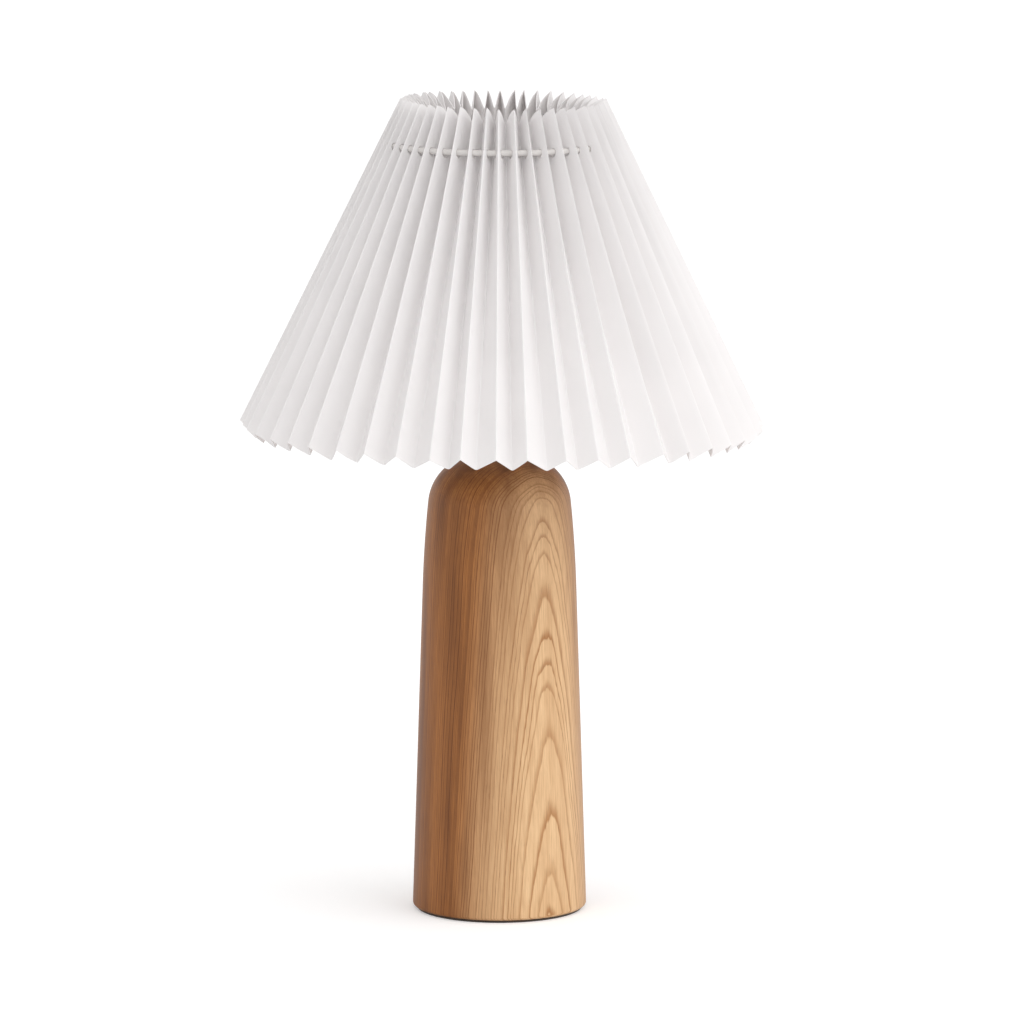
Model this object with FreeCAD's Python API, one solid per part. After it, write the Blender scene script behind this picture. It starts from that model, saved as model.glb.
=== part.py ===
import FreeCAD, Part
import math
import os

# Pleated paper table lamp: a cone of pleated paper on a wire ring, a wire carrier clamped to
# an E27 lampholder, and a turned wooden body.  Millimetres, +Z up, origin on the table under
# the lamp's axis, front towards -Y, cable inlet towards +Y.

# ---- driving dimensions: wooden body ----
wood_height = 261.5
wood_foot_radius = 50.0
wood_edge_round = 2.0
shoulder_radius = 30.0          # round from the side to the flat top
wood_top_flat_radius = 12.5
recess_radius = 32.0
recess_depth = 22.5
pad_thickness = 1.5
pad_inset = 2.5                 # pad edge inside the foot's widest edge
inlet_height = 12.75            # height of the cable inlet's axis
bush_sleeve_radius = 5.0
bush_sleeve_length = 16.0
bush_flange_radius = 6.8
bush_flange_thickness = 2.0
inlet_bore_radius = 3.2
inlet_spotface_depth = 3.4      # from the foot's widest radius to the flange's seat

# ---- driving dimensions: centre tube and its fasteners ----
tube_radius = 5.0               # M10 x 1 all-thread tube
tube_bore_radius = 3.5
tube_tail = 5.0                 # below the nut in the recess
nut_across_flats = 14.0
nut_height = 5.0
washer_radius = 20.0
washer_thickness = 2.0
seat_ring_radius = 15.0
seat_ring_height = 4.0
seat_ring_edge = 1.0
lock_nut_height = 4.0

# ---- driving dimensions: lampholder ----
neck_radius = 8.5
neck_length = 11.0
neck_thread_length = 9.0        # length of tube inside the neck
cap_dome_height = 14.0
cap_wall = 2.0
grub_radius = 1.5
sleeve_radius = 20.0            # over the outer thread that takes the shade ring
sleeve_height = 35.0
sleeve_bore_radius = 17.0
sleeve_lip_radius = 14.9
sleeve_lip_height = 2.0
flange_radius = 23.0
flange_thickness = 2.0
flange_lift = 2.5               # flange's underside above the sleeve's lower end
core_flange_radius = 18.2
core_flange_thickness = 2.0
core_height = 8.0
core_wire_hole_radius = 2.0
shell_bore_radius = 13.8
shell_wall = 0.6
shell_height = 24.0
shell_floor_radius = 10.0       # inner edge of the shell's turned-in floor
tongue_width = 7.0
tongue_thickness = 0.5
tongue_rise = 1.6
side_contact_height = 8.0
side_contact_span = 34.0        # degrees
side_contact_foot = 2.0
terminal_spacing = 18.0
terminal_width = 6.0
terminal_depth = 7.0
terminal_height = 6.0
terminal_screw_radius = 1.5
terminal_head_radius = 2.6
terminal_head_height = 1.8

# ---- driving dimensions: bulb ----
bulb_radius = 30.0
bulb_length = 105.0
bulb_neck_radius = 12.5
bulb_flare_radius = 40.0
glass_wall = 0.8
glass_seat_depth = 14.0         # glass neck inside the metal cap
bulb_cap_radius = 13.2
bulb_cap_wall = 0.5
bulb_cap_height = 22.5
insulator_height = 3.0
insulator_tip_radius = 6.0
contact_radius = 4.6
contact_height = 2.1
stem_radius = 3.0
stem_foot_height = 10.0
stem_height = 34.0
filament_count = 4
filament_radius = 1.0
filament_length = 36.0
filament_spread_low = 12.0
filament_spread_high = 7.0
lead_radius = 0.5

# ---- driving dimensions: shade ----
shade_bottom_radius = 150.0     # outer folds at the lower rim
shade_top_radius = 59.0         # outer folds at the upper rim
shade_rise = 186.0              # between the two ends of an outer fold
shade_gap = 19.0                # lower ends of the outer folds above the wood
pleat_count = 48
pleat_inset_top = 11.0          # inner folds inside the outer folds, upper rim
pleat_drop_top = 10.5
pleat_inset_bottom = 8.0
pleat_drop_bottom = 7.0
paper_thickness = 0.4
panel_strips = 3                # flat strips that follow each panel's slight twist
ring_inset = 7.23               # wire ring's centreline inside the outer folds at its height
ring_wire_radius = 1.75
ring_drop = 25.0                # ring under the upper ends of the outer folds
punch_radius = 2.4              # round holes punched in the pleats
ferrule_end_gap = 0.35          # from the ferrule's ends to the pleats beside it
ferrule_wall = 0.7

# ---- driving dimensions: carrier ----
hub_width = 6.0                 # radial width of the hub plate
hub_thickness = 2.0
arm_count = 3
arm_wire_radius = 1.1
arm_reach = 18.0                # straight run from the hub before the arm turns up
arm_bend_radius = 12.0
arm_post_height = 20.0          # upright end of the arm, beside the ring
arm_post_above_ring = 3.0
finger_wire_radius = 1.0
finger_past_ring = 0.6          # finger tip beyond the ring's centreline
post_clearance = 0.5
clamp_width = 5.0
clamp_height = 6.0
clamp_grips = 24
clamp_grip_radius = 1.0

# ---- clearances ----
running_gap = 0.3               # between pieces that move past each other
slip_gap = 0.2                  # between a tube or screw and its hole
press_gap = 0.1                 # between a pushed-in piece and its seat

# ---- levels worked out from the sizes ----
wood_top = pad_thickness + wood_height
recess_roof = pad_thickness + recess_depth
lock_nut_base = wood_top + seat_ring_height
neck_base = lock_nut_base + lock_nut_height
dome_base = neck_base + neck_length
sleeve_base = dome_base + cap_dome_height
sleeve_top = sleeve_base + sleeve_height
core_top = sleeve_base + core_height
flange_top = sleeve_base + flange_lift + flange_thickness
hub_base = flange_top + running_gap
clamp_base = hub_base + hub_thickness + running_gap
tongue_top = core_top + tongue_rise + tongue_thickness
bulb_base = tongue_top + running_gap
insulator_base = bulb_base + contact_height
bulb_cap_base = insulator_base + insulator_height / 2
bulb_cap_top = bulb_cap_base + bulb_cap_height
bulb_centre = bulb_base + bulb_length - bulb_radius
stem_base = bulb_cap_top - glass_seat_depth
fold_bottom = wood_top + shade_gap
fold_top = fold_bottom + shade_rise
ring_height = fold_top - ring_drop
fold_slope = (shade_bottom_radius - shade_top_radius) / shade_rise
ring_radius = shade_top_radius + fold_slope * ring_drop - ring_inset
pleat_pitch = 360.0 / pleat_count
hub_bore_radius = sleeve_radius + running_gap
hub_radius = hub_bore_radius + hub_width
side_contact_radius = shell_bore_radius + shell_wall

Z_AXIS = FreeCAD.Vector(0, 0, 1)
ORIGIN = FreeCAD.Vector(0, 0, 0)


def polar(radius, degrees, height):
    angle = math.radians(degrees)
    return FreeCAD.Vector(radius * math.cos(angle), radius * math.sin(angle), height)


def in_section(radius, height):
    """A point of a turned profile, drawn in the XZ plane."""
    return FreeCAD.Vector(radius, 0, height)


def line(start, end):
    return Part.LineSegment(start, end).toShape()


def arc(start, middle, end):
    return Part.Arc(start, middle, end).toShape()


def round_corner(centre, radius, start_degrees, end_degrees):
    """An arc in the XZ plane about a centre, from one direction to another."""
    points = []
    for degrees in (start_degrees, (start_degrees + end_degrees) / 2, end_degrees):
        angle = math.radians(degrees)
        points.append(centre + FreeCAD.Vector(radius * math.cos(angle), 0, radius * math.sin(angle)))
    return arc(*points)


def tangent_direction(centre, radius, other_centre, other_radius):
    """Degrees at which one straight side touches two rounds of the same profile."""
    apart = other_centre - centre
    towards = math.degrees(math.atan2(apart.z, apart.x))
    return towards + math.degrees(math.acos((radius - other_radius) / apart.Length))


def turned(edges, degrees=360):
    """The solid that a closed profile in the XZ plane sweeps about the lamp's axis."""
    face = Part.Face(Part.Wire(Part.__sortEdges__(edges)))
    return face.revolve(ORIGIN, Z_AXIS, degrees)


def turned_outline(points, degrees=360):
    corners = [in_section(radius, height) for radius, height in points]
    edges = [line(a, b) for a, b in zip(corners, corners[1:] + corners[:1])]
    return turned(edges, degrees)


def ring_of(inner, outer, base, height):
    """A plain washer or tube about the lamp's axis."""
    return turned_outline([(inner, base), (outer, base), (outer, base + height), (inner, base + height)])


def disc(radius, base, height):
    return Part.makeCylinder(radius, height, FreeCAD.Vector(0, 0, base), Z_AXIS)


def rod(start, end, radius):
    along = end - start
    return Part.makeCylinder(radius, along.Length, start, along)


def hex_nut(base, height):
    corner = nut_across_flats / 2 / math.cos(math.radians(30))
    corners = [polar(corner, 60 * i, base) for i in range(7)]
    body = Part.Face(Part.makePolygon(corners)).extrude(FreeCAD.Vector(0, 0, height))
    chamfer = nut_across_flats / 8
    blank = turned_outline([
        (0, base), (corner - chamfer, base), (corner, base + chamfer / 2),
        (corner, base + height - chamfer / 2), (corner - chamfer, base + height), (0, base + height)])
    return body.common(blank).cut(disc(tube_radius + slip_gap, base, height))


def wire_along(points, radius, bend_radius):
    """A round wire through the points, its corners bent to the bend radius."""
    edges = []
    start = points[0]
    for before, corner, after in zip(points, points[1:], points[2:]):
        towards = (before - corner).normalize()
        away = (after - corner).normalize()
        half_angle = towards.getAngle(away) / 2
        setback = bend_radius / math.tan(half_angle)
        middle = (towards + away).normalize() * (bend_radius / math.sin(half_angle) - bend_radius)
        edges.append(line(start, corner + towards * setback))
        edges.append(arc(corner + towards * setback, corner + middle, corner + away * setback))
        start = corner + away * setback
    edges.append(line(start, points[-1]))
    section = Part.Wire(Part.makeCircle(radius, points[0], points[1] - points[0]))
    return Part.Wire(edges).makePipeShell([section], True, True)


# ---- wooden body and what is fixed in it ----
def wood_body():
    shoulder_centre = in_section(wood_top_flat_radius, wood_top - shoulder_radius)
    foot_centre = in_section(wood_foot_radius - wood_edge_round, pad_thickness + wood_edge_round)
    lean = tangent_direction(shoulder_centre, shoulder_radius, foot_centre, wood_edge_round)
    outward = FreeCAD.Vector(math.cos(math.radians(lean)), 0, math.sin(math.radians(lean)))
    bore = tube_radius + slip_gap
    edges = [
        line(in_section(bore, recess_roof), in_section(bore, wood_top)),
        line(in_section(bore, wood_top), in_section(wood_top_flat_radius, wood_top)),
        round_corner(shoulder_centre, shoulder_radius, 90, lean),
        line(shoulder_centre + outward * shoulder_radius, foot_centre + outward * wood_edge_round),
        round_corner(foot_centre, wood_edge_round, lean, -90),
        line(in_section(foot_centre.x, pad_thickness), in_section(recess_radius, pad_thickness)),
        line(in_section(recess_radius, pad_thickness), in_section(recess_radius, recess_roof)),
        line(in_section(recess_radius, recess_roof), in_section(bore, recess_roof)),
    ]
    body = turned(edges)
    seat = FreeCAD.Vector(0, wood_foot_radius - inlet_spotface_depth, inlet_height)
    outside = FreeCAD.Vector(0, wood_foot_radius * 1.2, inlet_height)
    channel_start = FreeCAD.Vector(0, recess_radius / 2, inlet_height)
    body = body.cut(rod(channel_start, outside, bush_sleeve_radius + press_gap))
    return body.cut(rod(seat, outside, bush_flange_radius + slip_gap))


def felt_pad():
    return disc(wood_foot_radius - pad_inset, 0, pad_thickness)


def cable_bush():
    seat = FreeCAD.Vector(0, wood_foot_radius - inlet_spotface_depth, inlet_height)
    outward = FreeCAD.Vector(0, 1, 0)
    inner_end = seat - outward * bush_sleeve_length
    outer_end = seat + outward * bush_flange_thickness
    sleeve = rod(inner_end, seat, bush_sleeve_radius)
    flange = rod(seat, outer_end, bush_flange_radius)
    rim = [edge for edge in flange.Edges if edge.CenterOfMass.y > seat.y + bush_flange_thickness / 2]
    flange = flange.makeFillet(bush_flange_thickness / 3, [e for e in rim if len(e.Vertexes) == 1])
    return sleeve.fuse(flange).removeSplitter().cut(rod(inner_end, outer_end, inlet_bore_radius))


def threaded_tube():
    bottom = recess_roof - washer_thickness - nut_height - tube_tail
    return ring_of(tube_bore_radius, tube_radius, bottom, neck_base + neck_thread_length - bottom)


def recess_washer():
    return ring_of(tube_radius + slip_gap, washer_radius, recess_roof - washer_thickness, washer_thickness)


def recess_nut():
    return hex_nut(recess_roof - washer_thickness - nut_height, nut_height)


def seat_ring():
    crown = nut_across_flats / 2 + 2 * seat_ring_edge
    return turned_outline([
        (tube_radius + slip_gap, wood_top), (seat_ring_radius, wood_top),
        (seat_ring_radius, wood_top + seat_ring_edge), (crown, lock_nut_base),
        (tube_radius + slip_gap, lock_nut_base)])


def lock_nut():
    return hex_nut(lock_nut_base, lock_nut_height)


# ---- lampholder ----
def holder_cap():
    top_bore = sleeve_radius - 1.5 * cap_wall
    bore = tube_radius + slip_gap
    shell = turned_outline([
        (bore, neck_base), (neck_radius, neck_base), (neck_radius, dome_base),
        (sleeve_radius - cap_wall, dome_base + cap_dome_height / 2), (sleeve_radius, sleeve_base),
        (top_bore, sleeve_base), (top_bore - cap_wall, dome_base + cap_dome_height / 2),
        (bore + cap_wall, dome_base + cap_wall), (bore, dome_base + cap_wall)])
    return shell.cut(grub_screw_blank(slip_gap))


def grub_screw_blank(clearance):
    height = neck_base + neck_length / 2
    tip = FreeCAD.Vector(0, tube_radius + press_gap, height)
    head = FreeCAD.Vector(0, neck_radius + clearance, height)
    return rod(tip, head, grub_radius + clearance / 2)


def grub_screw():
    return grub_screw_blank(0)


def holder_sleeve():
    flange_base = flange_top - flange_thickness
    core_seat = core_flange_radius + slip_gap
    lip_base = sleeve_top - sleeve_lip_height
    return turned_outline([
        (core_seat, sleeve_base), (sleeve_radius, sleeve_base), (sleeve_radius, flange_base),
        (flange_radius, flange_base), (flange_radius, flange_top), (sleeve_radius, flange_top),
        (sleeve_radius, sleeve_top), (sleeve_lip_radius, sleeve_top), (sleeve_lip_radius, lip_base),
        (sleeve_bore_radius, lip_base), (sleeve_bore_radius, sleeve_base + core_flange_thickness),
        (core_seat, sleeve_base + core_flange_thickness)])


def holder_core():
    body_radius = sleeve_bore_radius - 2 * slip_gap
    flange_top_of_core = sleeve_base + core_flange_thickness
    core = turned_outline([
        (0, sleeve_base), (core_flange_radius, sleeve_base), (core_flange_radius, flange_top_of_core),
        (body_radius, flange_top_of_core), (body_radius, core_top), (0, core_top)])
    for side in (-1, 1):
        foot = FreeCAD.Vector(0, side * terminal_spacing / 2, sleeve_base)
        core = core.cut(Part.makeCylinder(core_wire_hole_radius, core_height, foot, Z_AXIS))
    return core


def screw_shell():
    outer = shell_bore_radius + shell_wall
    floor = core_top + shell_wall
    return turned_outline([
        (shell_floor_radius, core_top), (outer, core_top), (outer, core_top + shell_height),
        (shell_bore_radius, core_top + shell_height), (shell_bore_radius, floor),
        (shell_floor_radius, floor)])


def centre_contact():
    """A brass tongue riveted near the floor's edge, its free end raised under the bulb."""
    fixed_end = -(shell_floor_radius - slip_gap - tongue_thickness)
    free_end = contact_radius
    knee = fixed_end / 2
    low = core_top
    points = [
        (fixed_end, low), (knee, low), (0, low + tongue_rise), (free_end, low + tongue_rise),
        (free_end, low + tongue_rise + tongue_thickness), (0, low + tongue_rise + tongue_thickness),
        (knee, low + tongue_thickness), (fixed_end, low + tongue_thickness)]
    corners = [FreeCAD.Vector(x, -tongue_width / 2, z) for x, z in points]
    face = Part.Face(Part.makePolygon(corners + corners[:1]))
    strip = face.extrude(FreeCAD.Vector(0, tongue_width, 0))
    return strip.common(disc(shell_floor_radius - slip_gap, core_top, tongue_rise + tongue_thickness))


def side_contact():
    """A brass strip that stands on the core and hugs the screw shell from outside."""
    outer = side_contact_radius + tongue_thickness
    strip = turned_outline([
        (side_contact_radius, core_top), (outer + side_contact_foot, core_top),
        (outer + side_contact_foot, core_top + tongue_thickness), (outer, core_top + tongue_thickness),
        (outer, core_top + side_contact_height), (side_contact_radius, core_top + side_contact_height),
    ], side_contact_span)
    strip.rotate(ORIGIN, Z_AXIS, -side_contact_span / 2)
    return strip


def terminal_places():
    for side in (-1, 1):
        yield FreeCAD.Vector(side * terminal_spacing / 2, 0, sleeve_base)


def terminal_blocks():
    blocks = []
    for place in terminal_places():
        corner = place - FreeCAD.Vector(terminal_width / 2, terminal_depth / 2, terminal_height)
        block = Part.makeBox(terminal_width, terminal_depth, terminal_height, corner)
        hole_base = place - FreeCAD.Vector(0, 0, terminal_height)
        hole = Part.makeCylinder(terminal_screw_radius + press_gap, terminal_height, hole_base, Z_AXIS)
        blocks.append(block.cut(hole))
    return Part.makeCompound(blocks)


def terminal_screws():
    screws = []
    for place in terminal_places():
        head_seat = place - FreeCAD.Vector(0, 0, terminal_height)
        shank = rod(head_seat, place, terminal_screw_radius)
        head = rod(head_seat - Z_AXIS * terminal_head_height, head_seat, terminal_head_radius)
        screws.append(shank.fuse(head).removeSplitter())
    return Part.makeCompound(screws)


# ---- bulb ----
def bulb_profile(inset):
    """Neck, flare and globe of the glass, moved inwards by an inset."""
    globe = bulb_radius - inset
    flare = bulb_flare_radius + inset
    neck = bulb_neck_radius - inset
    centre = in_section(0, bulb_centre)
    drop = math.sqrt((globe + flare) ** 2 - (neck + flare) ** 2)
    flare_centre = in_section(neck + flare, bulb_centre - drop)
    lean = math.degrees(math.atan2(drop, neck + flare))
    neck_end = in_section(neck, stem_base)
    neck_top = in_section(neck, flare_centre.z)
    edges = [
        line(neck_end, neck_top),
        round_corner(flare_centre, flare, 180, 180 - lean),
        round_corner(centre, globe, -lean, 90),
    ]
    return edges, neck_end, in_section(0, bulb_centre + globe)


def bulb_glass():
    outer, outer_end, outer_top = bulb_profile(0)
    inner, inner_end, inner_top = bulb_profile(glass_wall)
    return turned(outer + inner + [line(outer_end, inner_end), line(outer_top, inner_top)])


def bulb_cap():
    inner = bulb_cap_radius - bulb_cap_wall
    chamfer = bulb_cap_radius - insulator_seat_radius()
    return turned_outline([
        (insulator_seat_radius(), bulb_cap_base), (bulb_cap_radius, bulb_cap_base + chamfer),
        (bulb_cap_radius, bulb_cap_top), (inner, bulb_cap_top), (inner, bulb_cap_base + chamfer),
        (insulator_seat_radius() - bulb_cap_wall, bulb_cap_base)])


def insulator_seat_radius():
    return bulb_cap_radius - insulator_height / 2


def cap_insulator():
    top_radius = insulator_seat_radius() - bulb_cap_wall
    insulator_top = bulb_cap_base
    return turned_outline([
        (0, insulator_base), (insulator_tip_radius, insulator_base),
        (top_radius, insulator_top), (0, insulator_top)])


def cap_contact():
    return turned_outline([
        (0, bulb_base), (contact_radius / 2, bulb_base), (contact_radius, bulb_base + contact_height / 2),
        (contact_radius, insulator_base), (0, insulator_base)])


def bulb_stem():
    foot_radius = bulb_neck_radius - glass_wall
    foot_top = stem_base + stem_foot_height
    stem_top = stem_base + stem_height
    return turned_outline([
        (0, stem_base), (foot_radius, stem_base), (foot_radius, stem_base + glass_wall),
        (stem_radius, foot_top), (stem_radius, stem_top), (0, stem_top)])


def filament_ends():
    """Lower and upper end of each filament rod; neighbours lean the other way."""
    low = stem_base + stem_height + filament_spread_low
    for i in range(filament_count):
        degrees = 360.0 * i / filament_count + 180.0 / filament_count
        yield polar(filament_spread_low, degrees, low), polar(filament_spread_high, degrees, low + filament_length)


def filaments():
    return Part.makeCompound([rod(low, high, filament_radius) for low, high in filament_ends()])


def filament_leads():
    """Bent wires from the stem to each filament's lower end, and a cross that joins the tops."""
    leads = []
    stem_top = stem_base + stem_height
    tops = []
    for low, high in filament_ends():
        outward = FreeCAD.Vector(low.x, low.y, 0).normalize()
        root = outward * (stem_radius / 2) + FreeCAD.Vector(0, 0, stem_top + lead_radius)
        leads.append(rod(root, low - (low - root).normalize() * filament_radius, lead_radius))
        hub = FreeCAD.Vector(0, 0, high.z + filament_radius)
        tops.append(rod(hub, high + FreeCAD.Vector(0, 0, filament_radius), lead_radius))
    cross = tops[0]
    for spoke in tops[1:]:
        cross = cross.fuse(spoke)
    return Part.makeCompound(leads + [cross])


# ---- shade ----
def fold_lines(degrees, outer, inward):
    """Upper and lower end of one fold; inward moves it towards the axis by the paper's share."""
    if outer:
        top_radius = shade_top_radius
        bottom_radius = shade_bottom_radius
        top = fold_top
        bottom = fold_bottom
    else:
        top_radius = shade_top_radius - pleat_inset_top
        bottom_radius = shade_bottom_radius - pleat_inset_bottom
        top = fold_top - pleat_drop_top
        bottom = fold_bottom - pleat_drop_bottom
    if inward:
        top_radius -= fold_thickness(shade_top_radius, pleat_inset_top, pleat_drop_top)
        bottom_radius -= fold_thickness(shade_bottom_radius, pleat_inset_bottom, pleat_drop_bottom)
    return polar(top_radius, degrees, top), polar(bottom_radius, degrees, bottom)


def fold_thickness(radius, inset, drop):
    """Paper thickness measured along the radius at a fold, where the panel stands askew."""
    half_pitch = math.radians(pleat_pitch / 2)
    across = (radius - inset) * math.sin(half_pitch)
    along = radius - (radius - inset) * math.cos(half_pitch)
    fold_lean = math.atan(fold_slope)
    depth = along * math.cos(fold_lean) + drop * math.sin(fold_lean)
    panel = math.hypot(across, depth)
    return paper_thickness * panel / across / math.cos(fold_lean)


def flat_face(*corners):
    return Part.Face(Part.makePolygon(list(corners) + [corners[0]]))


def along_fold(fold, step):
    """The point of a fold at one of the panel's cross lines."""
    top, bottom = fold
    return top + (bottom - top) * (step / panel_strips)


def strip_faces(first, second):
    """A twisted panel between two folds, as flat triangles between its cross lines."""
    faces = []
    for step in range(panel_strips):
        a = along_fold(first, step)
        b = along_fold(second, step)
        c = along_fold(second, step + 1)
        d = along_fold(first, step + 1)
        faces.append(flat_face(a, b, d))
        faces.append(flat_face(b, c, d))
    return faces


def joint_faces(valley, valley_back):
    """Where a pleat meets the next one; these faces close the pleat only until it is copied."""
    faces = []
    for step in range(panel_strips):
        faces.append(flat_face(
            along_fold(valley, step), along_fold(valley_back, step),
            along_fold(valley_back, step + 1), along_fold(valley, step + 1)))
    return faces


def pleat_faces():
    """One pleat: both faces of its two panels, their upper and lower edges, with the punched holes."""
    half_pitch = pleat_pitch / 2
    faces = []
    joints = []
    crest = fold_lines(0, True, False)
    crest_back = fold_lines(0, True, True)
    for side in (-1, 1):
        valley = fold_lines(side * half_pitch, False, False)
        valley_back = fold_lines(side * half_pitch, False, True)
        faces += strip_faces(crest, valley) + strip_faces(crest_back, valley_back)
        for end in (0, 1):
            faces.append(flat_face(crest[end], crest_back[end], valley[end]))
            faces.append(flat_face(crest_back[end], valley_back[end], valley[end]))
        joints += joint_faces(valley, valley_back)
    pleat = outward_solid(faces + joints)
    reach = FreeCAD.Vector(0, ring_radius * math.sin(math.radians(half_pitch)), 0)
    hole_centre = FreeCAD.Vector(ring_radius, 0, ring_height - (punch_radius - ring_wire_radius - press_gap))
    punched = pleat.cut(rod(hole_centre - reach, hole_centre + reach, punch_radius))
    centres = [joint.CenterOfMass for joint in joints]
    kept = []
    for face in punched.Faces:
        nearest = min((face.CenterOfMass - centre).Length for centre in centres)
        if nearest > paper_thickness / 10:
            kept.append(face)
    return kept


def outward_solid(faces):
    """The solid inside a closed set of faces, its surface turned outwards."""
    shell = Part.makeCompound(faces)
    shell.sewShape()
    solid = Part.Solid(shell.Shells[0])
    if solid.Volume < 0:
        solid.reverse()
    return solid


def paper_shade():
    pleat = pleat_faces()
    faces = []
    for i in range(pleat_count):
        for face in pleat:
            faces.append(face.rotated(ORIGIN, Z_AXIS, i * pleat_pitch))
    return outward_solid(faces)


def ring_wire():
    return Part.makeTorus(ring_radius, ring_wire_radius, FreeCAD.Vector(0, 0, ring_height), Z_AXIS)


def ring_ferrule():
    """A short crimped sleeve over the ring's joint, in a rear valley between two pleats."""
    degrees = (rear_pleat() + 0.5) * pleat_pitch
    bore = ring_wire_radius + press_gap
    outer = bore + ferrule_wall
    middle = polar(ring_radius, degrees, ring_height)
    along = polar(valley_room(outer) - ferrule_end_gap, degrees + 90, 0)
    outside = rod(middle - along, middle + along, outer)
    return outside.cut(rod(middle - along, middle + along, bore))


def valley_room(radius):
    """Half the width of a valley where a sleeve on the ring, of a radius, comes nearest its fold."""
    valley = fold_radius(False, ring_height)
    crest = fold_radius(True, ring_height)
    squared = math.cos(math.atan(fold_slope))
    depth = (crest - valley) * squared
    reached = (ring_radius - valley) * squared - radius
    return crest * math.sin(math.radians(pleat_pitch / 2)) * reached / depth


def fold_radius(outer, height):
    """Radius of the outer or the inner folds at a height."""
    top, bottom = fold_lines(0, outer, False)
    return top.x + (bottom.x - top.x) * (top.z - height) / (top.z - bottom.z)


def rear_pleat():
    return round(pleat_count / 4)


# ---- carrier ----
def carrier_hub():
    return ring_of(hub_bore_radius, hub_radius, hub_base, hub_thickness)


def arm_directions():
    """The arms stand in whole pleats, as near to even spacing as the pleats allow."""
    for i in range(arm_count):
        yield (rear_pleat() + round(i * pleat_count / arm_count)) * pleat_pitch


def carrier_arm(degrees):
    post_radius = ring_radius - ring_wire_radius - post_clearance - arm_wire_radius
    hub_level = hub_base + hub_thickness / 2
    post_top = ring_height + arm_post_above_ring
    points = [
        polar(hub_radius, degrees, hub_level),
        polar(hub_radius + arm_reach, degrees, hub_level),
        polar(post_radius, degrees, post_top - arm_post_height),
        polar(post_radius, degrees, post_top),
    ]
    arm = wire_along(points, arm_wire_radius, arm_bend_radius)
    finger_level = ring_height - ring_wire_radius - running_gap - finger_wire_radius
    finger = rod(polar(post_radius, degrees, finger_level),
                 polar(ring_radius + finger_past_ring, degrees, finger_level), finger_wire_radius)
    return arm.fuse(finger)


def carrier_arms():
    return Part.makeCompound([carrier_arm(degrees) for degrees in arm_directions()])


def clamp_ring():
    outer = hub_bore_radius + clamp_width
    ring = ring_of(hub_bore_radius, outer, clamp_base, clamp_height)
    for i in range(clamp_grips):
        foot = polar(outer + clamp_grip_radius / 2, 360.0 * i / clamp_grips, clamp_base)
        ring = ring.cut(Part.makeCylinder(clamp_grip_radius, clamp_height, foot, Z_AXIS))
    return ring


PIECES = {
    "wood_body": wood_body,
    "felt_pad": felt_pad,
    "cable_bush": cable_bush,
    "threaded_tube": threaded_tube,
    "recess_washer": recess_washer,
    "recess_nut": recess_nut,
    "seat_ring": seat_ring,
    "lock_nut": lock_nut,
    "holder_cap": holder_cap,
    "grub_screw": grub_screw,
    "holder_sleeve": holder_sleeve,
    "holder_core": holder_core,
    "screw_shell": screw_shell,
    "centre_contact": centre_contact,
    "side_contact": side_contact,
    "terminal_blocks": terminal_blocks,
    "terminal_screws": terminal_screws,
    "carrier_hub": carrier_hub,
    "carrier_arms": carrier_arms,
    "clamp_ring": clamp_ring,
    "paper_shade": paper_shade,
    "ring_wire": ring_wire,
    "ring_ferrule": ring_ferrule,
    "bulb_glass": bulb_glass,
    "bulb_cap": bulb_cap,
    "cap_insulator": cap_insulator,
    "cap_contact": cap_contact,
    "bulb_stem": bulb_stem,
    "filaments": filaments,
    "filament_leads": filament_leads,
}

os.makedirs("parts", exist_ok=True)
for name, make in PIECES.items():
    shape = make()
    shape.exportStep("parts/" + name + ".step")
    box = shape.BoundBox
    print(f"{name}: {len(shape.Solids)} solid(s), volume {shape.Volume:.1f} mm3, valid {shape.isValid()}, "
          f"z {box.ZMin:.1f} to {box.ZMax:.1f}")
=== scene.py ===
import math
import random

import bpy
from mathutils import Matrix, Vector


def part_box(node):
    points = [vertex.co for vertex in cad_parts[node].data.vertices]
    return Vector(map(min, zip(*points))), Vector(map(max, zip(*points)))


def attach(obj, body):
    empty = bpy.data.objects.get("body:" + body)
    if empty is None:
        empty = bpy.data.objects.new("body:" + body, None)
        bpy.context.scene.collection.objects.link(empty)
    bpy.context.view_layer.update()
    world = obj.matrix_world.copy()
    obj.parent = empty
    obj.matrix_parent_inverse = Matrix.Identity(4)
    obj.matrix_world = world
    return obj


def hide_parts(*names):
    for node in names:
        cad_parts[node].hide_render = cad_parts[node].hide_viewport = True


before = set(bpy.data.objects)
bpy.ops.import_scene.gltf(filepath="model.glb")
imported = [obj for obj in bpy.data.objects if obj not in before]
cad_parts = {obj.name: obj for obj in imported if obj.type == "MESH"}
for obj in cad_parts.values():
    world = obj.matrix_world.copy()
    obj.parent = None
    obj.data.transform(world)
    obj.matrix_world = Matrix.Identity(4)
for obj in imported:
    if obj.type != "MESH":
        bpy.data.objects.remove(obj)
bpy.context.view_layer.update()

bpy.ops.object.select_all(action="DESELECT")
MM = 0.001


# ---- Camera ----
# A long lens from a little above the shade, as the photograph has it, with the lamp's axis
# slightly left of the middle of the picture.
camera_distance = 4.10
camera_height = 0.853
camera_drop = 8.637             # degrees below level
camera_lens = 254.5
lamp_left_of_middle = 0.0122    # share of the picture's width

bpy.ops.object.camera_add(
    location=(0, -camera_distance, camera_height),
    rotation=(math.radians(90 - camera_drop), 0, 0))
camera = bpy.context.object
camera.data.lens = camera_lens
camera.data.sensor_width = 36
camera.data.shift_x = lamp_left_of_middle
camera.data.clip_end = 100
bpy.context.scene.camera = camera
bpy.context.scene.view_settings.view_transform = "Standard"


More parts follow.
